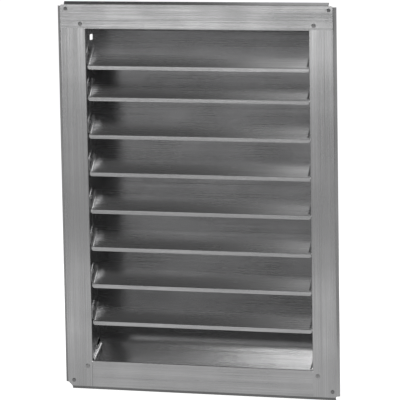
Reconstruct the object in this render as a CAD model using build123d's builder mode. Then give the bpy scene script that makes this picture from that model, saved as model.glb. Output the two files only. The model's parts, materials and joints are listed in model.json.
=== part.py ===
"""Louvred gable vent of folded sheet metal, 12 x 18 inch nominal.

Millimetres. X runs to the right, Y into the wall and Z up, so the front faces -Y. The origin is the centre
of the four nail holes, on the back face of the jamb flanges.
"""

import os
from math import cos, radians, sin, tan

from build123d import *

# Sheet
SHEET = 0.7
BEND = 1.2
CLEARANCE = 0.05

# Frame
OPENING_WIDTH = 313.0
OPENING_HEIGHT = 457.2
FLANGE_WIDTH = 33.5
BROAD_FLANGE_WIDTH = 35.7
RETURN_LENGTH = 4.6
RETURN_ANGLE = 35.0
RETURN_END_GAP = 5.5
CORNER_CLIP = 1.5
LOWER_LEFT_CLIP = 5.0
SLEEVE_DEPTH = 60.0
LEDGE_WIDTH = 10.0
RELIEF_LENGTH = 13.0
RELIEF_HEIGHT = 8.0
RELIEF_DEPTH = 24.0
RELIEF_BELOW_HEAD = 13.0
RELIEF_CORNER = 2.0
EAR_FRONT = 42.0
EAR_LENGTH = 15.0
EAR_HEIGHT = 13.0

# Sill pan
PAN_ANGLE = 28.0
PAN_DEPTH = 46.0
DAM_ANGLE = 60.0
DAM_LENGTH = 22.0
DAM_BEND = 38.0
PAN_END_START = 2.0
PAN_END_FRONT = 2.0
PAN_END_LENGTH = 36.0

# Louvre blades
BLADE_COUNT = 8
BLADE_PITCH = 51.5
LOWEST_FOLD = -173.5
FIRST_FOLD = 178.4
BLADE_ANGLE = 50.0
BLADE_RISE = 45.0
LIP_SETBACK = 3.0
LIP_HEIGHT = 5.0
LIP_MITRE = 2.0
LIP_END_GAP = 1.0
TAB_START = 2.0
TAB_LENGTH = 28.0
TAB_HEIGHT = 12.0
TAB_BEND = 4.5

# Holes and rivets
NAIL_HOLE_RADIUS = 2.0
NAIL_HOLE_OFFSET = 27.5
CORNER_RIVET_OFFSET = 7.0
RIVET_RADIUS = 1.6
RIVET_HEAD_RADIUS = 3.0
RIVET_HEAD_HEIGHT = 1.1
RIVET_HEAD_TAPER = 45.0
RIVET_SIDES = 10
RIVET_TAIL_RADIUS = 2.4
RIVET_TAIL_HEIGHT = 0.9
RIVET_ON_TAB = 8.0
HOLE_GAP = 0.1

# Insect screen
SCREEN_THICKNESS = 1.1
SCREEN_BINDING = 8.0
SCREEN_SIDE_GAP = 1.0
SCREEN_BOTTOM_GAP = 15.0
SCREEN_COLUMNS = 9
SCREEN_ROWS = 13
SCREEN_WIRE = 1.2
SCREEN_RIVETS_PER_SIDE = 4
SCREEN_RIVET_SPACING = 110.0

# Places worked out from the sizes above
half_width = OPENING_WIDTH / 2
half_height = OPENING_HEIGHT / 2
# The left and lower flanges are a little broader than the right and upper ones
flange_left = half_width + BROAD_FLANGE_WIDTH
flange_right = half_width + FLANGE_WIDTH
flange_bottom = half_height + BROAD_FLANGE_WIDTH
flange_top = half_height + FLANGE_WIDTH
bend_run = BEND * tan(radians(RETURN_ANGLE / 2))
flat_left = flange_left - bend_run
flat_right = flange_right - bend_run
flat_bottom = flange_bottom - bend_run
flat_top = flange_top - bend_run
return_out = RETURN_LENGTH * cos(radians(RETURN_ANGLE))
return_back = RETURN_LENGTH * sin(radians(RETURN_ANGLE))
inside = half_width - CLEARANCE
rear = SLEEVE_DEPTH - SHEET / 2
jamb_layer = -SHEET / 2
head_layer = jamb_layer - SHEET
sill_layer = jamb_layer + SHEET
hole_radius = RIVET_RADIUS + HOLE_GAP
wall_grip = 2 * SHEET + CLEARANCE
regular_folds = [LOWEST_FOLD + BLADE_PITCH * step for step in reversed(range(BLADE_COUNT - 1))]
blade_folds = [FIRST_FOLD, *regular_folds]
slope_length = BLADE_RISE / sin(radians(BLADE_ANGLE))
nail_x = half_width + NAIL_HOLE_OFFSET
nail_z = half_height + NAIL_HOLE_OFFSET
corner_x = half_width + CORNER_RIVET_OFFSET
corner_z = half_height + CORNER_RIVET_OFFSET
jamb_top = nail_z + 2 * NAIL_HOLE_RADIUS
screen_back = SLEEVE_DEPTH - SHEET - CLEARANCE
screen_grip = SCREEN_THICKNESS + CLEARANCE + SHEET
screen_rivet_x = half_width - SCREEN_SIDE_GAP - SCREEN_BINDING / 2
screen_rivet_span = SCREEN_RIVET_SPACING * (SCREEN_RIVETS_PER_SIDE - 1)
screen_rivet_heights = [
    SCREEN_RIVET_SPACING * step - screen_rivet_span / 2 for step in range(SCREEN_RIVETS_PER_SIDE)
]


def on_slope(angle, along, above):
    """Depth and height of a point on a slope, measured from the slope's foot."""
    turn = radians(angle)
    return along * cos(turn) - above * sin(turn), along * sin(turn) + above * cos(turn)


def on_blade(fold, along, above=0.0):
    """Depth and height of a point on the blade that has this fold."""
    depth, height = on_slope(BLADE_ANGLE, along, above)
    return LIP_SETBACK + depth, fold + height


def on_pan(along, above=0.0):
    """Depth and height of a point on the sill pan."""
    depth, height = on_slope(PAN_ANGLE, along, above)
    return sill_layer + depth, -half_height + height


blade_rivet_places = [on_blade(fold, TAB_START + TAB_LENGTH / 2, RIVET_ON_TAB) for fold in blade_folds]
pan_rivet_place = on_pan(PAN_END_START + PAN_END_LENGTH / 2, RIVET_ON_TAB)
ear_rivet_place = (EAR_FRONT + EAR_LENGTH / 2, half_height - EAR_HEIGHT / 2)
sleeve_rivet_places = [ear_rivet_place, pan_rivet_place]


def folded(plane, *points, radius=BEND):
    """Section of a sheet that is folded along a line on the plane."""
    with BuildSketch(plane) as section:
        with BuildLine():
            FilletPolyline(*points, radius=radius)
        trace(line_width=SHEET)
    return section.sketch


def upturned(angle, foot, start):
    """Section across a slope, with its two ends turned up against the jamb walls."""
    turn = radians(angle)
    across = Plane(origin=(0, *foot), x_dir=(1, 0, 0), z_dir=(0, cos(turn), sin(turn)))
    end = inside - SHEET / 2
    line = ((-end, -TAB_HEIGHT), (-end, 0), (end, 0), (end, -TAB_HEIGHT))
    return folded(across.offset(start), *line, radius=TAB_BEND)


def outline(plane, *points):
    """Flat outline on the plane."""
    with BuildSketch(plane) as section:
        Polygon(*points, align=None)
    return section.sketch


def rivet_holes(plane, places):
    """Section of the rivet holes at these places on the plane."""
    with BuildSketch(plane) as section:
        with Locations(*places):
            RegularPolygon(hole_radius, RIVET_SIDES)
    return section.sketch


def flange_holes(x_signs, z_signs):
    """Section of the nail holes and corner rivet holes in these flange corners."""
    corners = [(x, z) for x in x_signs for z in z_signs]
    with BuildSketch(Plane.XZ) as section:
        with Locations(*[(x * nail_x, z * nail_z) for x, z in corners]):
            Circle(NAIL_HOLE_RADIUS)
        with Locations(*[(x * corner_x, z * corner_z) for x, z in corners]):
            RegularPolygon(hole_radius, RIVET_SIDES)
    return section.sketch


def build_jamb(label, side, flange_edge, lower_clip):
    """Fold one jamb: side is -1 for the left one and 1 for the right one."""
    wall = half_width + SHEET / 2
    flat_edge = flange_edge - bend_run
    lower = -flat_bottom
    with BuildPart() as jamb:
        # Side wall with its rear ledge
        sleeve_wall = folded(
            Plane.XY.offset(-half_height),
            (side * corner_x, jamb_layer),
            (side * wall, jamb_layer),
            (side * wall, rear),
            (side * (half_width - LEDGE_WIDTH), rear),
        )
        extrude(sleeve_wall, amount=OPENING_HEIGHT)
        # Flange, clipped at its lower outer corner
        flange = outline(
            Plane.XZ,
            (side * (half_width + SHEET), lower),
            (side * (flat_edge - lower_clip), lower),
            (side * flat_edge, lower + lower_clip),
            (side * flat_edge, jamb_top),
            (side * (half_width + SHEET), jamb_top),
        )
        extrude(flange, amount=SHEET)
        # Return along the outer edge
        edge_return = folded(
            Plane.XY.offset(lower + lower_clip),
            (side * (flange_edge + return_out), jamb_layer + return_back),
            (side * flange_edge, jamb_layer),
            (side * nail_x, jamb_layer),
        )
        extrude(edge_return, amount=jamb_top - lower - lower_clip)
        # Relief slot below the head
        with BuildSketch(Plane.YZ):
            with Locations((RELIEF_DEPTH, half_height - RELIEF_BELOW_HEAD)):
                RectangleRounded(RELIEF_LENGTH, RELIEF_HEIGHT, RELIEF_CORNER)
        extrude(amount=flange_left, both=True, mode=Mode.SUBTRACT)
        # Holes for nails and rivets
        wall_holes = rivet_holes(Plane.YZ, blade_rivet_places + sleeve_rivet_places)
        extrude(wall_holes, amount=flange_left, both=True, mode=Mode.SUBTRACT)
        extrude(flange_holes([side], [-1, 1]), amount=FLANGE_WIDTH, both=True, mode=Mode.SUBTRACT)
        ledge_places = [(side * screen_rivet_x, height) for height in screen_rivet_heights]
        ledge_holes = rivet_holes(Plane.XZ.offset(-rear), ledge_places)
        extrude(ledge_holes, amount=SHEET, both=True, mode=Mode.SUBTRACT)
    jamb.part.label = label
    return jamb.part


def build_blade(label, fold):
    """Fold one louvre blade: slope, drip lip and upturned ends."""
    with BuildPart() as blade:
        # Drip lip with mitred ends
        lip_end = (LIP_SETBACK, fold - LIP_HEIGHT)
        lip = folded(Plane.YZ, lip_end, (LIP_SETBACK, fold), on_blade(fold, TAB_START + TAB_BEND))
        extrude(lip, amount=inside - LIP_END_GAP, both=True)
        chamfer(blade.edges().filter_by(Axis.Y).group_by(Axis.Z)[0], length=LIP_MITRE)
        # Lower slope with upturned ends
        extrude(upturned(BLADE_ANGLE, (LIP_SETBACK, fold), TAB_START), amount=TAB_LENGTH)
        # Ends trimmed flush with the lip's face
        split(bisect_by=Plane.XZ.offset(SHEET / 2 - LIP_SETBACK), keep=Keep.BOTTOM)
        # Plain upper slope
        with BuildSketch(Plane.YZ):
            with BuildLine():
                Line(on_blade(fold, TAB_LENGTH), on_blade(fold, slope_length))
            trace(line_width=SHEET)
        extrude(amount=inside, both=True)
        # Rivet holes in the upturned ends
        tab_holes = rivet_holes(Plane.YZ, [on_blade(fold, TAB_START + TAB_LENGTH / 2, RIVET_ON_TAB)])
        extrude(tab_holes, amount=half_width, both=True, mode=Mode.SUBTRACT)
    blade.part.label = label
    return blade.part


def build_rivet(grip):
    """Make one faceted rivet: its head's seat lies on the local XY plane and its shank runs down -Z."""
    with BuildPart() as rivet:
        with BuildSketch():
            RegularPolygon(RIVET_HEAD_RADIUS, RIVET_SIDES)
        extrude(amount=RIVET_HEAD_HEIGHT, taper=RIVET_HEAD_TAPER)
        with BuildSketch():
            RegularPolygon(RIVET_RADIUS, RIVET_SIDES)
        extrude(amount=-grip)
        with BuildSketch(Plane.XY.offset(-grip)):
            RegularPolygon(RIVET_TAIL_RADIUS, RIVET_SIDES)
        extrude(amount=-RIVET_TAIL_HEIGHT)
    return rivet.part


def build_rivets(label, grip, seats):
    """Set the same rivet on every seat: a plane whose normal points out of the rivet's head."""
    rivet = build_rivet(grip)
    with BuildPart() as rivets:
        with Locations(*seats):
            add(rivet)
    rivets.part.label = label
    return rivets.part


def wall_seats(side, places):
    """Seats on the inner faces of the tabs along one jamb wall."""
    face = side * (inside - SHEET)
    return [Plane(origin=(face, *place), z_dir=(-side, 0, 0)) for place in places]


# Head rail: laps in front of both jambs
head_wall = half_height + SHEET / 2
with BuildPart() as head_rail:
    # Top wall of the sleeve
    top_wall = folded(Plane.YZ, (head_layer, corner_z), (head_layer, head_wall), (rear, head_wall))
    extrude(top_wall, amount=inside, both=True)
    # Rear ledge between the jambs' ledges
    ledge_end = (rear, half_height - LEDGE_WIDTH)
    ledge = folded(Plane.YZ, (EAR_FRONT, head_wall), (rear, head_wall), ledge_end)
    extrude(ledge, amount=half_width - LEDGE_WIDTH - SHEET, both=True)
    # Flange, clipped at its upper corners
    head_flange = outline(
        Plane.XZ.offset(-head_layer - SHEET / 2),
        (-flat_left, half_height + BEND),
        (flat_right, half_height + BEND),
        (flat_right, flat_top - CORNER_CLIP),
        (flat_right - CORNER_CLIP, flat_top),
        (-flat_left + CORNER_CLIP, flat_top),
        (-flat_left, flat_top - CORNER_CLIP),
    )
    extrude(head_flange, amount=SHEET)
    # Return along the top edge
    head_return = folded(
        Plane.YZ.offset(-flat_left + RETURN_END_GAP),
        (head_layer + return_back, flange_top + return_out),
        (head_layer, flange_top),
        (head_layer, nail_z),
    )
    extrude(head_return, amount=flat_left + flat_right - 2 * RETURN_END_GAP)
    # Ears that turn down inside the jamb walls
    with Locations(*[(side * (inside - SHEET / 2), *ear_rivet_place) for side in (-1, 1)]):
        Box(SHEET, EAR_LENGTH, EAR_HEIGHT + SHEET)
    extrude(rivet_holes(Plane.YZ, [ear_rivet_place]), amount=half_width, both=True, mode=Mode.SUBTRACT)
    extrude(flange_holes([-1, 1], [1]), amount=FLANGE_WIDTH, both=True, mode=Mode.SUBTRACT)
head_rail.part.label = "head_rail"

# Sill rail: lapped by both jambs, with a sloped pan that sheds water to the front
pan_slope = PAN_DEPTH / cos(radians(PAN_ANGLE))
dam_depth, dam_foot = on_pan(pan_slope)
dam_run, dam_rise = on_slope(DAM_ANGLE, DAM_LENGTH, 0.0)
with BuildPart() as sill_rail:
    # Pan with upturned ends, trimmed behind the flange
    pan_ends = upturned(PAN_ANGLE, (sill_layer, -half_height), PAN_END_START)
    extrude(pan_ends, amount=PAN_END_LENGTH)
    split(bisect_by=Plane.XZ.offset(-PAN_END_FRONT), keep=Keep.BOTTOM)
    # Front of the pan, bent down into the flange
    bend_down = ((sill_layer, -corner_z), (sill_layer, -half_height))
    pan_front = folded(Plane.YZ, *bend_down, on_pan(PAN_END_LENGTH))
    extrude(pan_front, amount=inside - TAB_BEND, both=True)
    front_ends = folded(Plane.YZ, *bend_down, on_pan(PAN_END_FRONT + SHEET))
    extrude(front_ends, amount=inside, both=True)
    # Back of the pan, curved up into the dam that leans back behind it
    dam_top = (dam_depth + dam_run, dam_foot + dam_rise)
    dam = folded(Plane.YZ, on_pan(PAN_END_LENGTH), (dam_depth, dam_foot), dam_top, radius=DAM_BEND)
    extrude(dam, amount=inside, both=True)
    # Flange, clipped at its lower corners
    sill_flange = outline(
        Plane.XZ.offset(-sill_layer - SHEET / 2),
        (-flat_left, -half_height - BEND),
        (flat_right, -half_height - BEND),
        (flat_right, -flat_bottom + CORNER_CLIP),
        (flat_right - CORNER_CLIP, -flat_bottom),
        (-flat_left + LOWER_LEFT_CLIP, -flat_bottom),
        (-flat_left, -flat_bottom + LOWER_LEFT_CLIP),
    )
    extrude(sill_flange, amount=SHEET)
    # Return along the bottom edge
    sill_return = folded(
        Plane.YZ.offset(-flat_left + LOWER_LEFT_CLIP),
        (sill_layer + return_back, -flange_bottom - return_out),
        (sill_layer, -flange_bottom),
        (sill_layer, -nail_z),
    )
    extrude(sill_return, amount=flat_left + flat_right - LOWER_LEFT_CLIP - CORNER_CLIP)
    # Holes for nails and rivets
    extrude(rivet_holes(Plane.YZ, [pan_rivet_place]), amount=half_width, both=True, mode=Mode.SUBTRACT)
    extrude(flange_holes([-1, 1], [-1]), amount=FLANGE_WIDTH, both=True, mode=Mode.SUBTRACT)
sill_rail.part.label = "sill_rail"

# Insect screen: a bound panel of wire cloth, drawn with a coarse grid of wires
screen_width = 2 * (half_width - SCREEN_SIDE_GAP)
screen_height = OPENING_HEIGHT - SCREEN_SIDE_GAP - SCREEN_BOTTOM_GAP
screen_middle = (SCREEN_BOTTOM_GAP - SCREEN_SIDE_GAP) / 2
gap_width = (screen_width - 2 * SCREEN_BINDING - SCREEN_WIRE * (SCREEN_COLUMNS - 1)) / SCREEN_COLUMNS
gap_height = (screen_height - 2 * SCREEN_BINDING - SCREEN_WIRE * (SCREEN_ROWS - 1)) / SCREEN_ROWS
gap_spacing = (gap_width + SCREEN_WIRE, gap_height + SCREEN_WIRE)
with BuildPart() as insect_screen:
    with BuildSketch(Plane.XZ.offset(-screen_back)):
        with Locations((0, screen_middle)):
            Rectangle(screen_width, screen_height)
            with GridLocations(*gap_spacing, SCREEN_COLUMNS, SCREEN_ROWS):
                Rectangle(gap_width, gap_height, mode=Mode.SUBTRACT)
        with Locations(*[(side * screen_rivet_x, z) for side in (-1, 1) for z in screen_rivet_heights]):
            RegularPolygon(hole_radius, RIVET_SIDES, mode=Mode.SUBTRACT)
    extrude(amount=SCREEN_THICKNESS)
insect_screen.part.label = "insect_screen"

# Rivet seats
corner_seats = [
    Plane(origin=(x * corner_x, layer - SHEET / 2, z * corner_z), z_dir=(0, -1, 0))
    for x in (-1, 1)
    for layer, z in ((head_layer, 1), (jamb_layer, -1))
]
screen_seats = [
    Plane(origin=(side * screen_rivet_x, screen_back - SCREEN_THICKNESS, height), z_dir=(0, -1, 0))
    for side in (-1, 1)
    for height in screen_rivet_heights
]
sleeve_seats = wall_seats(-1, sleeve_rivet_places) + wall_seats(1, sleeve_rivet_places)

pieces = [
    head_rail.part,
    sill_rail.part,
    insect_screen.part,
    build_jamb("left_jamb", -1, flange_left, LOWER_LEFT_CLIP),
    build_jamb("right_jamb", 1, flange_right, CORNER_CLIP),
    build_rivets("corner_rivets", 2 * SHEET, corner_seats),
    build_rivets("sleeve_rivets", wall_grip, sleeve_seats),
    build_rivets("left_blade_rivets", wall_grip, wall_seats(-1, blade_rivet_places)),
    build_rivets("right_blade_rivets", wall_grip, wall_seats(1, blade_rivet_places)),
    build_rivets("screen_rivets", screen_grip, screen_seats),
]
for number, fold in enumerate(blade_folds, start=1):
    pieces.append(build_blade(f"louver_blade_{number}", fold))

os.makedirs("parts", exist_ok=True)
for piece in pieces:
    export_step(piece, f"parts/{piece.label}.step")
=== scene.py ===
"""Finishes a louvred gable vent and sets it in a small studio.

Metres. X runs to the right, Y into the wall and Z up, so the vent's front faces -Y. The sheet metal
pieces are the frame's own solids. The wire cloth and the rivets are made here in place of the solids
that stand for them. The nails are made here alone, in the solids' open nail holes.
"""

import json
from math import cos, pi, radians, sin

import bmesh
import bpy
from mathutils import Matrix, Quaternion, Vector

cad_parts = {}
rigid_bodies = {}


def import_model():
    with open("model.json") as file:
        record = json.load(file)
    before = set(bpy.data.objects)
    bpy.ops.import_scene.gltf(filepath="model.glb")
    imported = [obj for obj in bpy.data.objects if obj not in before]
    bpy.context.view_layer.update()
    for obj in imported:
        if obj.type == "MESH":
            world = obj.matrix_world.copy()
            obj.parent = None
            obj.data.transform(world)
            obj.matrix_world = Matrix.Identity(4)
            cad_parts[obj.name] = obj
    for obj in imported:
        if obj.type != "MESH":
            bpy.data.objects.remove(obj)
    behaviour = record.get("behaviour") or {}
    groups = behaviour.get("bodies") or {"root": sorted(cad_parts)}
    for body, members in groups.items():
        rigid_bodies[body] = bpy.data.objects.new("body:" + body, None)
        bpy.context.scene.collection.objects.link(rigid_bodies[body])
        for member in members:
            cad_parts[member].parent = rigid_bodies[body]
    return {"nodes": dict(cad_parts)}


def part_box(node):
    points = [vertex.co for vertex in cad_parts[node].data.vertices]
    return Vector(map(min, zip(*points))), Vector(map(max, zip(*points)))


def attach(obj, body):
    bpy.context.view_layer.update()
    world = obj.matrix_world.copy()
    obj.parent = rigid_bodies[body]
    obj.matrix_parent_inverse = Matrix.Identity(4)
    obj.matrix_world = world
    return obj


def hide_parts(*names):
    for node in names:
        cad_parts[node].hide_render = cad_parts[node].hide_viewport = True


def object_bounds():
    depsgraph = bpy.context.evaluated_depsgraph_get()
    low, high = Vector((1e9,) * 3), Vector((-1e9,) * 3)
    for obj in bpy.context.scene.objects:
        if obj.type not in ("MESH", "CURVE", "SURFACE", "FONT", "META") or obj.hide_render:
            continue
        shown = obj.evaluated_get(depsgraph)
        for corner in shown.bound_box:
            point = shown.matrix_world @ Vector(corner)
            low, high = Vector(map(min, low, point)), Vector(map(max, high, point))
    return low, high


bl_info = {
    "name": "Gable Vent",
    "version": (1, 0, 0),
    "blender": (4, 5, 0),
    "location": "View3D > Sidebar > Gable Vent",
    "description": "Finishes a louvred gable vent and sets it in a small studio",
    "category": "Object",
}

for leftover in list(bpy.data.objects):
    bpy.data.objects.remove(leftover)
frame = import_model()
cad_low, cad_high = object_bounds()

BODY = "root"
X_AXIS, Y_AXIS, Z_AXIS = range(3)
BLADES = sorted(name for name in frame["nodes"] if name.startswith("louver_blade"))
FRONT_RIVETS = ("corner_rivets", "screen_rivets")
WALL_RIVETS = ("sleeve_rivets", "left_blade_rivets", "right_blade_rivets")
FASTENER_SEGMENTS = 20
WELD_DISTANCE = 1e-6
SENSOR_WIDTH = 36.0

# Rolled sheet: how the broad lines compare with the fine ones, and how lines and clouds mix
BROAD_WIDTH = 8
BROAD_LENGTH = 3
FINE_DETAIL = 2.0
BROAD_DETAIL = 3.0
CLOUD_DETAIL = 4.0
BROAD_SHARE = 0.45
CLOUD_SHARE = 0.35
FINISH_RANGE = (0.36, 0.64)
GRAIN_DEPTH = 0.0004

# Small metalware: the noise of its stains, and what they do to colour, gloss and surface
STAIN_DETAIL = 4.0
STAIN_COLOUR_RANGE = (0.35, 0.65)
STAIN_GLOSS_RANGE = (0.3, 0.7)
STAIN_DULLING = 0.12
STAIN_RELIEF = 0.15
STAIN_DEPTH = 0.0002

# Wire cloth: sides of a wire, how far the wires press into each other, and how round the fold is
WIRE_SIDES = 6
WIRE_SINK = 0.8
BINDING_ROUND = 0.3

# Floor and wall of the studio
FLOOR_RADIUS = 9.0
CURVE_RADIUS = 1.0
WALL_HEIGHT = 4.0
CURVE_STEPS = 12
FLOOR_SEGMENTS = 96
FLOOR_WELD = 0.0001
FLOOR_ROUGHNESS = 0.9

# Each lamp's place, the point that it faces, its width and height, and its brightness
LAMPS = {
    "near_floor": ((-0.25, -0.17, -0.275), (-0.25, -0.17, 1.0), (1.6, 0.31), 0.32),
    "far_floor": ((-0.25, -0.73, -0.275), (-0.25, -0.73, 1.0), (1.6, 0.8), 0.46),
    "low_front_board": ((-0.45, -1.5, -0.075), (-0.45, 0.0, -0.05), (1.0, 0.3), 0.25),
    "front_board": ((-0.45, -1.5, 0.15), (-0.45, 0.0, 0.1), (1.0, 0.15), 1.40),
    "left_board": ((-1.5, -0.05, -0.1), (-0.2, 0.0, 0.0), (0.8, 0.6), 0.16),
    "right_board": ((1.37, -0.9, -0.1), (0.2, 0.0, 0.0), (0.7, 0.6), 0.24),
    "top_left_lamp": ((-0.5, -0.45, 1.2), (-0.5, -0.2, 0.0), (0.5, 0.5), 0.10),
    "top_lamp": ((-0.27, -0.45, 1.2), (-0.27, -0.2, 0.0), (0.14, 0.5), 0.44),
    "top_mid_lamp": ((-0.1, -0.45, 1.2), (-0.1, -0.2, 0.0), (0.2, 0.5), 0.7),
    "top_right_lamp": ((0.25, -0.45, 1.2), (0.25, -0.2, 0.0), (0.35, 0.5), 1.7),
    "rear_board": ((-0.3, 1.0, 0.15), (0.0, 0.0, 0.0), (0.65, 0.9), 0.57),
    "rear_top_lamp": ((-0.23, 0.73, 1.28), (-0.23, 0.3, -0.1), (0.4, 0.5), 2.8),
    "right_rear_lamp": ((0.97, 1.11, 1.02), (-0.15, 0.03, -0.21), (0.7, 0.7), 3.0),
}
# Dark directions in the room: where each lies from the vent, and the angles of its core and its rim
SHADES = (
    ((0.2967, 0.9444, -0.1416), radians(13.0), radians(29.0)),
    ((-0.2967, -0.3034, 0.9058), radians(14.0), radians(32.0)),
    ((-0.30, 0.85, -0.45), radians(14.0), radians(28.0)),
)


class SheetSettings(bpy.types.PropertyGroup):
    """Finish of the rolled sheet."""

    bright: bpy.props.FloatVectorProperty(
        name="Bright Grain",
        description="Colour of the sheet where the rolls polished it",
        subtype="COLOR",
        min=0.0,
        max=1.0,
        default=(0.70, 0.70, 0.705),
    )
    dull: bpy.props.FloatVectorProperty(
        name="Dull Grain",
        description="Colour of the sheet in the rolling lines",
        subtype="COLOR",
        min=0.0,
        max=1.0,
        default=(0.50, 0.50, 0.505),
    )
    grain_width: bpy.props.FloatProperty(
        name="Grain Width",
        description="Width of one rolling line",
        unit="LENGTH",
        min=0.0001,
        default=0.0011,
    )
    grain_length: bpy.props.FloatProperty(
        name="Grain Length",
        description="Length of one rolling line",
        unit="LENGTH",
        min=0.001,
        default=0.16,
    )
    cloud_size: bpy.props.FloatProperty(
        name="Cloud Size",
        description="Size of the faint dull clouds that handling leaves",
        unit="LENGTH",
        min=0.001,
        default=0.07,
    )
    gloss: bpy.props.FloatVectorProperty(
        name="Roughness Range",
        description="Roughness of the polished and of the dull grain",
        size=2,
        min=0.0,
        max=1.0,
        default=(0.20, 0.30),
    )
    relief: bpy.props.FloatProperty(
        name="Grain Relief",
        description="How strongly the rolling lines turn the light",
        subtype="FACTOR",
        min=0.0,
        max=1.0,
        default=0.25,
    )
    smear: bpy.props.FloatProperty(
        name="Smear",
        description="How much more the rolling lines blur the light across them than along them",
        subtype="FACTOR",
        min=0.0,
        max=1.0,
        default=0.4,
    )


class ClothSettings(bpy.types.PropertyGroup):
    """Size and finish of the insect screen's wire cloth."""

    wire: bpy.props.FloatProperty(
        name="Wire Diameter",
        description="Thickness of one wire",
        unit="LENGTH",
        min=0.0001,
        default=0.0005,
    )
    pitch: bpy.props.FloatProperty(
        name="Wire Pitch",
        description="Distance between neighbouring wires",
        unit="LENGTH",
        min=0.001,
        default=0.0032,
    )
    binding: bpy.props.FloatProperty(
        name="Binding Width",
        description="Width of the flat strip that is folded over the cloth's edges",
        unit="LENGTH",
        min=0.001,
        default=0.008,
    )
    bright: bpy.props.FloatVectorProperty(
        name="Bright Wire",
        description="Colour of the clean wire",
        subtype="COLOR",
        min=0.0,
        max=1.0,
        default=(0.60, 0.60, 0.60),
    )
    dull: bpy.props.FloatVectorProperty(
        name="Dull Wire",
        description="Colour of the weathered wire",
        subtype="COLOR",
        min=0.0,
        max=1.0,
        default=(0.34, 0.34, 0.345),
    )


class RivetSettings(bpy.types.PropertyGroup):
    """Size and finish of the blind rivets."""

    head: bpy.props.FloatProperty(
        name="Head Radius",
        description="Radius of the domed head",
        unit="LENGTH",
        min=0.0005,
        default=0.003,
    )
    dome: bpy.props.FloatProperty(
        name="Dome Height",
        description="Height of the domed head over the sheet",
        unit="LENGTH",
        min=0.0001,
        default=0.0011,
    )
    mandrel: bpy.props.FloatProperty(
        name="Mandrel Radius",
        description="Radius of the hollow in the middle of the head",
        unit="LENGTH",
        min=0.0001,
        default=0.0009,
    )
    shank: bpy.props.FloatProperty(
        name="Shank Radius",
        description="Radius of the rivet's body",
        unit="LENGTH",
        min=0.0005,
        default=0.0016,
    )
    bulb: bpy.props.FloatProperty(
        name="Bulb Radius",
        description="Radius of the upset end behind the sheet",
        unit="LENGTH",
        min=0.0005,
        default=0.0024,
    )
    bright: bpy.props.FloatVectorProperty(
        name="Bright Rivet",
        description="Colour of the rivet's polished metal",
        subtype="COLOR",
        min=0.0,
        max=1.0,
        default=(0.68, 0.68, 0.685),
    )
    dull: bpy.props.FloatVectorProperty(
        name="Dull Rivet",
        description="Colour of the rivet's stained metal",
        subtype="COLOR",
        min=0.0,
        max=1.0,
        default=(0.42, 0.42, 0.425),
    )


class NailSettings(bpy.types.PropertyGroup):
    """Size and finish of the nails in the flange's outer corners."""

    spacing: bpy.props.FloatVectorProperty(
        name="Nail Spacing",
        description="Distance between the nails across and up the flange",
        unit="LENGTH",
        size=2,
        min=0.0,
        default=(0.368, 0.5122),
    )
    head: bpy.props.FloatProperty(
        name="Head Radius",
        description="Radius of the flat head",
        unit="LENGTH",
        min=0.0005,
        default=0.0026,
    )
    thickness: bpy.props.FloatProperty(
        name="Head Thickness",
        description="Height of the head over the sheet",
        unit="LENGTH",
        min=0.0001,
        default=0.0007,
    )
    shank: bpy.props.FloatProperty(
        name="Shank Radius",
        description="Radius of the nail's shank, smaller than the hole",
        unit="LENGTH",
        min=0.0005,
        default=0.0015,
    )
    length: bpy.props.FloatProperty(
        name="Shank Length",
        description="Length of the short shank behind the head",
        unit="LENGTH",
        min=0.0005,
        default=0.003,
    )
    bright: bpy.props.FloatVectorProperty(
        name="Bright Nail",
        description="Colour of the nail's worn metal",
        subtype="COLOR",
        min=0.0,
        max=1.0,
        default=(0.42, 0.42, 0.425),
    )
    dull: bpy.props.FloatVectorProperty(
        name="Dull Nail",
        description="Colour of the nail's tarnished metal",
        subtype="COLOR",
        min=0.0,
        max=1.0,
        default=(0.28, 0.28, 0.285),
    )


class StudioSettings(bpy.types.PropertyGroup):
    """Floor, lights and camera."""

    floor: bpy.props.FloatVectorProperty(
        name="Floor",
        description="Colour of the floor and its wall",
        subtype="COLOR",
        min=0.0,
        max=1.0,
        default=(0.92, 0.92, 0.92),
    )
    light: bpy.props.FloatProperty(
        name="Light",
        description="Brightness of all lamps together",
        subtype="FACTOR",
        min=0.0,
        soft_max=2.0,
        default=1.0,
    )
    floor_glow: bpy.props.FloatProperty(
        name="Floor Glow",
        description="How brightly the floor and its wall shine by themselves",
        min=0.0,
        default=0.9,
    )
    room: bpy.props.FloatProperty(
        name="Room Light",
        description="Brightness of the room round the studio",
        min=0.0,
        default=0.2,
    )
    lens: bpy.props.FloatProperty(
        name="Focal Length",
        description="Focal length of the camera",
        unit="CAMERA",
        min=1.0,
        default=262.4,
    )
    yaw: bpy.props.FloatProperty(
        name="Camera Yaw",
        description="How far the camera stands to the right of the vent's axis",
        subtype="ANGLE",
        default=radians(17.44),
    )
    height: bpy.props.FloatProperty(
        name="Camera Elevation",
        description="How far the camera looks down",
        subtype="ANGLE",
        default=radians(8.14),
    )
    roll: bpy.props.FloatProperty(
        name="Camera Roll",
        description="Turn of the camera about its own axis",
        subtype="ANGLE",
        default=radians(-0.97),
    )
    distance: bpy.props.FloatProperty(
        name="Camera Distance",
        description="Distance from the camera to the vent's middle",
        unit="LENGTH",
        min=0.1,
        default=3.928,
    )
    aim: bpy.props.FloatVectorProperty(
        name="Camera Aim",
        description="Point at the middle of the picture",
        subtype="XYZ",
        unit="LENGTH",
        default=(0.0020, 0.0, -0.0009),
    )


def new_material(name, metallic):
    """Plain material with this share of metal: the material, its node tree and its shader."""
    material = bpy.data.materials.new(name)
    material.use_nodes = True
    shader = material.node_tree.nodes["Principled BSDF"]
    shader.inputs["Metallic"].default_value = metallic
    return material, material.node_tree, shader


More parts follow.
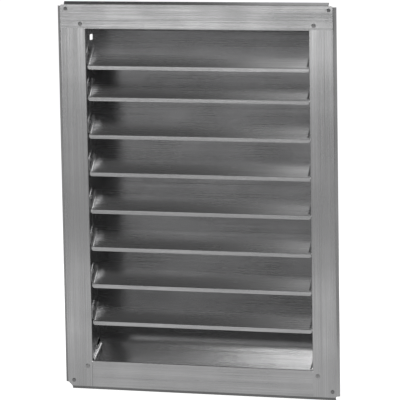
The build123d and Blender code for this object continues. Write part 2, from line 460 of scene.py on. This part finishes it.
def noise(tree, sizes, detail):
    """Noise over the object whose grains have these sizes along X, Y and Z."""
    place = tree.nodes.new("ShaderNodeTexCoord")
    stretch = tree.nodes.new("ShaderNodeMapping")
    stretch.inputs["Scale"].default_value = [1.0 / size for size in sizes]
    grains = tree.nodes.new("ShaderNodeTexNoise")
    grains.inputs["Scale"].default_value = 1.0
    grains.inputs["Detail"].default_value = detail
    tree.links.new(place.outputs["Object"], stretch.inputs["Vector"])
    tree.links.new(stretch.outputs["Vector"], grains.inputs["Vector"])
    return grains.outputs["Fac"]


def blend(tree, first, second, share):
    """Mix of two grey values, with this share of the second one."""
    mix = tree.nodes.new("ShaderNodeMix")
    mix.data_type = "FLOAT"
    mix.inputs[0].default_value = share
    tree.links.new(first, mix.inputs[2])
    tree.links.new(second, mix.inputs[3])
    return mix.outputs[0]


def ramp(tree, value, low, high, dark, light):
    """Colours from dark to light while the value goes from low to high."""
    colours = tree.nodes.new("ShaderNodeValToRGB")
    start, end = colours.color_ramp.elements
    start.position = low
    start.color = (*dark, 1.0)
    end.position = high
    end.color = (*light, 1.0)
    tree.links.new(value, colours.inputs["Fac"])
    return colours.outputs["Color"]


def spread(tree, value, low, high, start, end):
    """Value stretched from the range low to high onto the range start to end."""
    stretch = tree.nodes.new("ShaderNodeMapRange")
    stretch.inputs["From Min"].default_value = low
    stretch.inputs["From Max"].default_value = high
    stretch.inputs["To Min"].default_value = start
    stretch.inputs["To Max"].default_value = end
    tree.links.new(value, stretch.inputs["Value"])
    return stretch.outputs["Result"]


def relief(tree, shader, value, strength, depth):
    """Turns the shader's surface by the slope of the value."""
    bump = tree.nodes.new("ShaderNodeBump")
    bump.inputs["Strength"].default_value = strength
    bump.inputs["Distance"].default_value = depth
    tree.links.new(value, bump.inputs["Height"])
    tree.links.new(bump.outputs["Normal"], shader.inputs["Normal"])


def smear(tree, shader, along, amount):
    """Blurs reflections across the rolling lines that run along this axis."""
    place = tree.nodes.new("ShaderNodeTexCoord")
    across = tree.nodes.new("ShaderNodeVectorMath")
    across.operation = "CROSS_PRODUCT"
    across.inputs[1].default_value = [float(axis == along) for axis in range(3)]
    tree.links.new(place.outputs["Normal"], across.inputs[0])
    tree.links.new(across.outputs["Vector"], shader.inputs["Tangent"])
    shader.inputs["Anisotropic"].default_value = amount


def rolled_sheet(name, along):
    """Mill finish sheet, with rolling lines along this axis and faint clouds from handling."""
    sheet = bpy.context.scene.vent_sheet
    fine = [sheet.grain_width] * 3
    broad = [BROAD_WIDTH * sheet.grain_width] * 3
    fine[along] = sheet.grain_length
    broad[along] = BROAD_LENGTH * sheet.grain_length
    material, tree, shader = new_material(name, 1.0)
    fine_lines = noise(tree, fine, FINE_DETAIL)
    broad_lines = noise(tree, broad, BROAD_DETAIL)
    lines = blend(tree, fine_lines, broad_lines, BROAD_SHARE)
    clouds = noise(tree, [sheet.cloud_size] * 3, CLOUD_DETAIL)
    finish = blend(tree, lines, clouds, CLOUD_SHARE)
    colour = ramp(tree, finish, *FINISH_RANGE, sheet.dull, sheet.bright)
    tree.links.new(colour, shader.inputs["Base Color"])
    polish, matt = sheet.gloss
    gloss = spread(tree, finish, *FINISH_RANGE, matt, polish)
    tree.links.new(gloss, shader.inputs["Roughness"])
    relief(tree, shader, lines, sheet.relief, GRAIN_DEPTH)
    smear(tree, shader, along, sheet.smear)
    return material


def stained_metal(name, bright, dull, grain, roughness):
    """Plain small metalware, mottled by stains of this size."""
    material, tree, shader = new_material(name, 1.0)
    stains = noise(tree, [grain] * 3, STAIN_DETAIL)
    colour = ramp(tree, stains, *STAIN_COLOUR_RANGE, dull, bright)
    tree.links.new(colour, shader.inputs["Base Color"])
    gloss = spread(tree, stains, *STAIN_GLOSS_RANGE, roughness + STAIN_DULLING, roughness)
    tree.links.new(gloss, shader.inputs["Roughness"])
    relief(tree, shader, stains, STAIN_RELIEF, STAIN_DEPTH)
    return material


def finish_node(name, material):
    """Gives one of the frame's solids this material."""
    node = frame["nodes"][name]
    node.data.materials.clear()
    node.data.materials.append(material)


def add_piece(name, mesh, material, nodes):
    """Adds a mesh to the scene as a piece that stands for these solids, if any."""
    data = bpy.data.meshes.new(name)
    mesh.normal_update()
    mesh.to_mesh(data)
    mesh.free()
    data.materials.append(material)
    piece = bpy.data.objects.new(name, data)
    bpy.context.scene.collection.objects.link(piece)
    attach(piece, BODY)
    if nodes:
        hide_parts(*nodes)


def turned(mesh, profile, seat, segments):
    """Turns a profile of (radius, height) points, closed at both ends, about the seat's Z axis."""
    rings = []
    for radius, height in profile:
        if radius == 0.0:
            rings.append([mesh.verts.new(seat @ Vector((0.0, 0.0, height)))])
            continue
        turns = [2 * pi * step / segments for step in range(segments)]
        ring = [Vector((radius * cos(turn), radius * sin(turn), height)) for turn in turns]
        rings.append([mesh.verts.new(seat @ corner) for corner in ring])
    for lower, upper in zip(rings, rings[1:]):
        for step in range(segments):
            following = (step + 1) % segments
            corners = [lower[step % len(lower)], lower[following % len(lower)]]
            corners += [upper[following % len(upper)], upper[step % len(upper)]]
            unique = list(dict.fromkeys(corners))
            mesh.faces.new(unique).smooth = True


def straight_wire(mesh, start, end, radius):
    """Straight round wire between two points."""
    run = end - start
    seat = Matrix.Translation(start) @ run.to_track_quat("Z", "Y").to_matrix().to_4x4()
    profile = [(0.0, 0.0), (radius, 0.0), (radius, run.length), (0.0, run.length)]
    turned(mesh, profile, seat, WIRE_SIDES)


def loose_parts(name):
    """Corner pairs of the boxes round the separate solids in one node."""
    mesh = bmesh.new()
    mesh.from_mesh(frame["nodes"][name].data)
    bmesh.ops.remove_doubles(mesh, verts=mesh.verts, dist=WELD_DISTANCE)
    waiting = set(mesh.verts)
    boxes = []
    while waiting:
        group = [waiting.pop()]
        for vertex in group:
            for edge in vertex.link_edges:
                other = edge.other_vert(vertex)
                if other in waiting:
                    waiting.remove(other)
                    group.append(other)
        places = [vertex.co for vertex in group]
        low = Vector([min(place[axis] for place in places) for axis in range(3)])
        high = Vector([max(place[axis] for place in places) for axis in range(3)])
        boxes.append((low, high))
    mesh.free()
    return boxes


class VENT_OT_head_rail(bpy.types.Operator):
    """Finish the head rail with rolling lines along its length"""

    bl_idname = "vent.head_rail"
    bl_label = "Head Rail"

    def execute(self, context):
        finish_node("head_rail", rolled_sheet("head_rail_sheet", X_AXIS))
        return {"FINISHED"}


class VENT_OT_sill_rail(bpy.types.Operator):
    """Finish the sill rail and its pan with rolling lines along its length"""

    bl_idname = "vent.sill_rail"
    bl_label = "Sill Rail"

    def execute(self, context):
        finish_node("sill_rail", rolled_sheet("sill_rail_sheet", X_AXIS))
        return {"FINISHED"}


class VENT_OT_jambs(bpy.types.Operator):
    """Finish both jambs with rolling lines up their length"""

    bl_idname = "vent.jambs"
    bl_label = "Jambs"

    def execute(self, context):
        material = rolled_sheet("jamb_sheet", Z_AXIS)
        finish_node("left_jamb", material)
        finish_node("right_jamb", material)
        return {"FINISHED"}


class VENT_OT_blades(bpy.types.Operator):
    """Finish the louvre blades with rolling lines along their length"""

    bl_idname = "vent.blades"
    bl_label = "Louvre Blades"

    def execute(self, context):
        material = rolled_sheet("blade_sheet", X_AXIS)
        for name in BLADES:
            finish_node(name, material)
        return {"FINISHED"}


class VENT_OT_rivets(bpy.types.Operator):
    """Set a domed blind rivet in place of each of the frame's plain ones"""

    bl_idname = "vent.rivets"
    bl_label = "Rivets"

    def execute(self, context):
        rivets = context.scene.vent_rivets
        material = stained_metal("rivet_metal", rivets.bright, rivets.dull, 0.002, 0.36)
        for name in FRONT_RIVETS + WALL_RIVETS:
            mesh = bmesh.new()
            for low, high in loose_parts(name):
                self.set_rivet(mesh, rivets, name, low, high)
            add_piece(f"{name}_set", mesh, material, [name])
        return {"FINISHED"}

    def set_rivet(self, mesh, rivets, name, low, high):
        """Turns one rivet in its plain solid's box, with its head to the front or into the opening."""
        middle = (low + high) / 2
        if name in FRONT_RIVETS:
            axis, out = Y_AXIS, Vector((0.0, -1.0, 0.0))
        else:
            axis, out = X_AXIS, Vector((-1.0 if middle.x > 0 else 1.0, 0.0, 0.0))
        length = high[axis] - low[axis]
        facing = out.to_track_quat("Z", "Y").to_matrix().to_4x4()
        seat = Matrix.Translation(middle - out * length / 2) @ facing
        turned(mesh, self.profile(rivets, length), seat, FASTENER_SEGMENTS)

    def profile(self, rivets, length):
        """Outline of a rivet from the tip of its bulb to the hollow of its head."""
        bulb = rivets.bulb
        tip = [(0.0, 0.0), (0.55 * bulb, 0.0), (0.9 * bulb, 0.00025), (bulb, 0.0005), (bulb, 0.0008)]
        head_seat = length - rivets.dome
        shank = [(rivets.shank, 0.0009), (rivets.shank, head_seat), (0.97 * rivets.head, head_seat)]
        steps = [0.15, 0.4, 0.65, 0.85, 1.0]
        rim = rivets.head - rivets.mandrel
        dome = [
            (rivets.mandrel + rim * cos(step * pi / 2), head_seat + rivets.dome * sin(step * pi / 2))
            for step in steps
        ]
        hollow = length - 0.6 * rivets.dome
        return tip + shank + dome + [(0.85 * rivets.mandrel, hollow), (0.0, hollow)]


class VENT_OT_nails(bpy.types.Operator):
    """Drive a short nail into each of the four nail holes"""

    bl_idname = "vent.nails"
    bl_label = "Nails"

    def execute(self, context):
        nails = context.scene.vent_nails
        width, height = nails.spacing
        facing = Vector((0.0, -1.0, 0.0)).to_track_quat("Z", "Y").to_matrix().to_4x4()
        mesh = bmesh.new()
        for front_sheet, z in (("head_rail", height / 2), ("left_jamb", -height / 2)):
            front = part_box(front_sheet)[0][Y_AXIS]
            for x in (-width / 2, width / 2):
                tip = Vector((x, front + nails.length, z))
                turned(mesh, self.profile(nails), Matrix.Translation(tip) @ facing, FASTENER_SEGMENTS)
        material = stained_metal("nail_metal", nails.bright, nails.dull, 0.0015, 0.4)
        add_piece("nails", mesh, material, [])
        return {"FINISHED"}

    def profile(self, nails):
        """Outline of a nail from the cut end of its shank to the middle of its head."""
        top = nails.length + nails.thickness
        shank = [(0.0, 0.0), (nails.shank, 0.0), (nails.shank, nails.length)]
        rim = [(0.96 * nails.head, nails.length), (nails.head, nails.length + 0.3 * nails.thickness)]
        crown = [(0.9 * nails.head, top - 0.1 * nails.thickness), (0.5 * nails.head, top), (0.0, top)]
        return shank + rim + crown


class VENT_OT_screen(bpy.types.Operator):
    """Lay the insect screen's wire cloth and fold the binding round it"""

    bl_idname = "vent.screen"
    bl_label = "Insect Screen"

    def execute(self, context):
        cloth = context.scene.vent_cloth
        low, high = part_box("insect_screen")
        low, high = Vector(low), Vector(high)
        mesh = bmesh.new()
        self.lay_wires(mesh, cloth, low, high)
        self.fold_binding(mesh, cloth, low, high)
        material = stained_metal("screen_wire", cloth.bright, cloth.dull, 0.012, 0.4)
        add_piece("wire_cloth", mesh, material, ["insect_screen"])
        return {"FINISHED"}

    def lay_wires(self, mesh, cloth, low, high):
        """Lays upright wires behind and level wires in front, pressed a little into each other."""
        radius = cloth.wire / 2
        depth = (low.y + high.y) / 2
        sunk = WIRE_SINK * radius
        inset = cloth.binding / 2
        left, right = low.x + inset, high.x - inset
        bottom, top = low.z + inset, high.z - inset
        columns = round((right - left) / cloth.pitch)
        rows = round((top - bottom) / cloth.pitch)
        for column in range(1, columns):
            x = left + (right - left) * column / columns
            straight_wire(mesh, Vector((x, depth + sunk, bottom)), Vector((x, depth + sunk, top)), radius)
        for row in range(1, rows):
            z = bottom + (top - bottom) * row / rows
            straight_wire(mesh, Vector((left, depth - sunk, z)), Vector((right, depth - sunk, z)), radius)

    def fold_binding(self, mesh, cloth, low, high):
        """Folds a flat strip with mitred corners over the four edges of the cloth."""
        corners = [(low.x, low.z), (high.x, low.z), (high.x, high.z), (low.x, high.z)]
        inward = [(1, 1), (-1, 1), (-1, -1), (1, -1)]
        round_off = BINDING_ROUND * (high.y - low.y)
        section = [
            (cloth.binding, low.y),
            (round_off, low.y),
            (0.0, low.y + round_off),
            (0.0, high.y - round_off),
            (round_off, high.y),
            (cloth.binding, high.y),
        ]
        rings = []
        for (x, z), (in_x, in_z) in zip(corners, inward):
            rings.append([mesh.verts.new((x + in_x * inset, y, z + in_z * inset)) for inset, y in section])
        for ring, following in zip(rings, rings[1:] + rings[:1]):
            for step in range(len(section)):
                after = (step + 1) % len(section)
                mesh.faces.new((ring[step], ring[after], following[after], following[step]))


class VENT_OT_stage(bpy.types.Operator):
    """Set the floor with its wall, the lamps and the camera"""

    bl_idname = "vent.stage"
    bl_label = "Stage"

    def execute(self, context):
        studio = context.scene.vent_studio
        self.lay_sweep(context, studio)
        self.light(context, studio)
        self.aim_camera(context, studio)
        return {"FINISHED"}

    def lay_sweep(self, context, studio):
        """Lays a round pale floor with a low wall, which doesn't show in the vent's reflections."""
        floor = cad_low.z
        level = FLOOR_RADIUS - CURVE_RADIUS
        line = [(0.0, floor)]
        for step in range(CURVE_STEPS + 1):
            turn = step / CURVE_STEPS * pi / 2
            reach = level + CURVE_RADIUS * sin(turn)
            line.append((reach, floor + CURVE_RADIUS - CURVE_RADIUS * cos(turn)))
        line.append((FLOOR_RADIUS, floor + WALL_HEIGHT))
        mesh = bmesh.new()
        points = [mesh.verts.new((reach, 0.0, z)) for reach, z in line]
        edges = [mesh.edges.new(pair) for pair in zip(points, points[1:])]
        bmesh.ops.spin(
            mesh,
            geom=points + edges,
            cent=(0.0, 0.0, 0.0),
            axis=(0.0, 0.0, 1.0),
            angle=2.0 * pi,
            steps=FLOOR_SEGMENTS,
            use_merge=True,
        )
        bmesh.ops.remove_doubles(mesh, verts=mesh.verts, dist=FLOOR_WELD)
        bmesh.ops.recalc_face_normals(mesh, faces=mesh.faces)
        data = bpy.data.meshes.new("paper_sweep")
        mesh.to_mesh(data)
        mesh.free()
        material, _, shader = new_material("sweep_paper", 0.0)
        shader.inputs["Base Color"].default_value = (*studio.floor, 1.0)
        shader.inputs["Roughness"].default_value = FLOOR_ROUGHNESS
        shader.inputs["Emission Color"].default_value = (1.0, 1.0, 1.0, 1.0)
        shader.inputs["Emission Strength"].default_value = studio.floor_glow
        data.materials.append(material)
        sweep = bpy.data.objects.new("paper_sweep", data)
        context.scene.collection.objects.link(sweep)
        sweep.visible_glossy = False
        sweep.visible_diffuse = False
        sweep.visible_shadow = False

    def light(self, context, studio):
        """Hangs the lamps in a room that is dark in a few directions."""
        for name, (place, target, size, brightness) in LAMPS.items():
            self.hang_lamp(context, name, Vector(place), Vector(target), size, studio.light * brightness)
        world = bpy.data.worlds.new("room")
        world.use_nodes = True
        tree = world.node_tree
        background = tree.nodes["Background"]
        background.inputs["Color"].default_value = (1.0, 1.0, 1.0, 1.0)
        direction = tree.nodes.new("ShaderNodeTexCoord").outputs["Generated"]
        level = studio.room
        for toward, core, rim in SHADES:
            level = self.shade(tree, direction, toward, core, rim, level)
        tree.links.new(level, background.inputs["Strength"])
        context.scene.world = world
        context.scene.view_settings.view_transform = "Standard"

    def shade(self, tree, direction, toward, core, rim, level):
        """Keeps the room's light out of a cone that opens toward a direction."""
        along = tree.nodes.new("ShaderNodeVectorMath")
        along.operation = "DOT_PRODUCT"
        tree.links.new(direction, along.inputs[0])
        along.inputs[1].default_value = Vector(toward).normalized()
        fade = tree.nodes.new("ShaderNodeMapRange")
        fade.interpolation_type = "SMOOTHSTEP"
        tree.links.new(along.outputs["Value"], fade.inputs["Value"])
        fade.inputs["From Min"].default_value = cos(rim)
        fade.inputs["From Max"].default_value = cos(core)
        fade.inputs["To Max"].default_value = 0.0
        if isinstance(level, float):
            fade.inputs["To Min"].default_value = level
        else:
            tree.links.new(level, fade.inputs["To Min"])
        return fade.outputs["Result"]

    def hang_lamp(self, context, name, place, target, size, brightness):
        """Hangs a rectangular soft lamp that faces the target."""
        data = bpy.data.lights.new(name, "AREA")
        data.shape = "RECTANGLE"
        data.size, data.size_y = size
        data.energy = brightness * pi * data.size * data.size_y
        lamp = bpy.data.objects.new(name, data)
        lamp.location = place
        lamp.rotation_mode = "QUATERNION"
        lamp.rotation_quaternion = (target - place).to_track_quat("-Z", "Y")
        context.scene.collection.objects.link(lamp)

    def aim_camera(self, context, studio):
        """Stands the camera to the right of the vent and a little over it."""
        aim = Vector(studio.aim)
        level = cos(studio.height)
        away = Vector((sin(studio.yaw) * level, -cos(studio.yaw) * level, sin(studio.height)))
        data = bpy.data.cameras.new("camera")
        data.lens = studio.lens
        data.sensor_width = SENSOR_WIDTH
        camera = bpy.data.objects.new("camera", data)
        camera.location = aim + studio.distance * away
        camera.rotation_mode = "QUATERNION"
        roll = Quaternion((0.0, 0.0, 1.0), studio.roll)
        camera.rotation_quaternion = (-away).to_track_quat("-Z", "Y") @ roll
        context.scene.collection.objects.link(camera)
        context.scene.camera = camera


class VENT_PT_sidebar(bpy.types.Panel):
    """List the vent's pieces and their settings"""

    bl_idname = "VENT_PT_sidebar"
    bl_label = "Gable Vent"
    bl_space_type = "VIEW_3D"
    bl_region_type = "UI"
    bl_category = "Gable Vent"

    def draw(self, context):
        for operator in OPERATORS:
            self.layout.operator(operator.bl_idname)
        for setting in SETTINGS:
            box = self.layout.box()
            group = getattr(context.scene, setting)
            for prop in group.bl_rna.properties:
                if prop.identifier not in ("rna_type", "name"):
                    box.prop(group, prop.identifier)


SETTINGS = {
    "vent_sheet": SheetSettings,
    "vent_cloth": ClothSettings,
    "vent_rivets": RivetSettings,
    "vent_nails": NailSettings,
    "vent_studio": StudioSettings,
}
OPERATORS = (
    VENT_OT_head_rail,
    VENT_OT_sill_rail,
    VENT_OT_jambs,
    VENT_OT_blades,
    VENT_OT_rivets,
    VENT_OT_nails,
    VENT_OT_screen,
    VENT_OT_stage,
)


def register():
    """Adds the settings, operators and panel to Blender."""
    for setting, group in SETTINGS.items():
        bpy.utils.register_class(group)
        setattr(bpy.types.Scene, setting, bpy.props.PointerProperty(type=group))
    for operator in OPERATORS:
        bpy.utils.register_class(operator)
    bpy.utils.register_class(VENT_PT_sidebar)


def unregister():
    """Takes the settings, operators and panel out of Blender."""
    bpy.utils.unregister_class(VENT_PT_sidebar)
    for operator in reversed(OPERATORS):
        bpy.utils.unregister_class(operator)
    for setting, group in reversed(SETTINGS.items()):
        delattr(bpy.types.Scene, setting)
        bpy.utils.unregister_class(group)


def main():
    """Builds every piece and the stage."""
    register()
    bpy.ops.vent.head_rail()
    bpy.ops.vent.sill_rail()
    bpy.ops.vent.jambs()
    bpy.ops.vent.blades()
    bpy.ops.vent.rivets()
    bpy.ops.vent.nails()
    bpy.ops.vent.screen()
    bpy.ops.vent.stage()


if __name__ == "__main__":
    main()
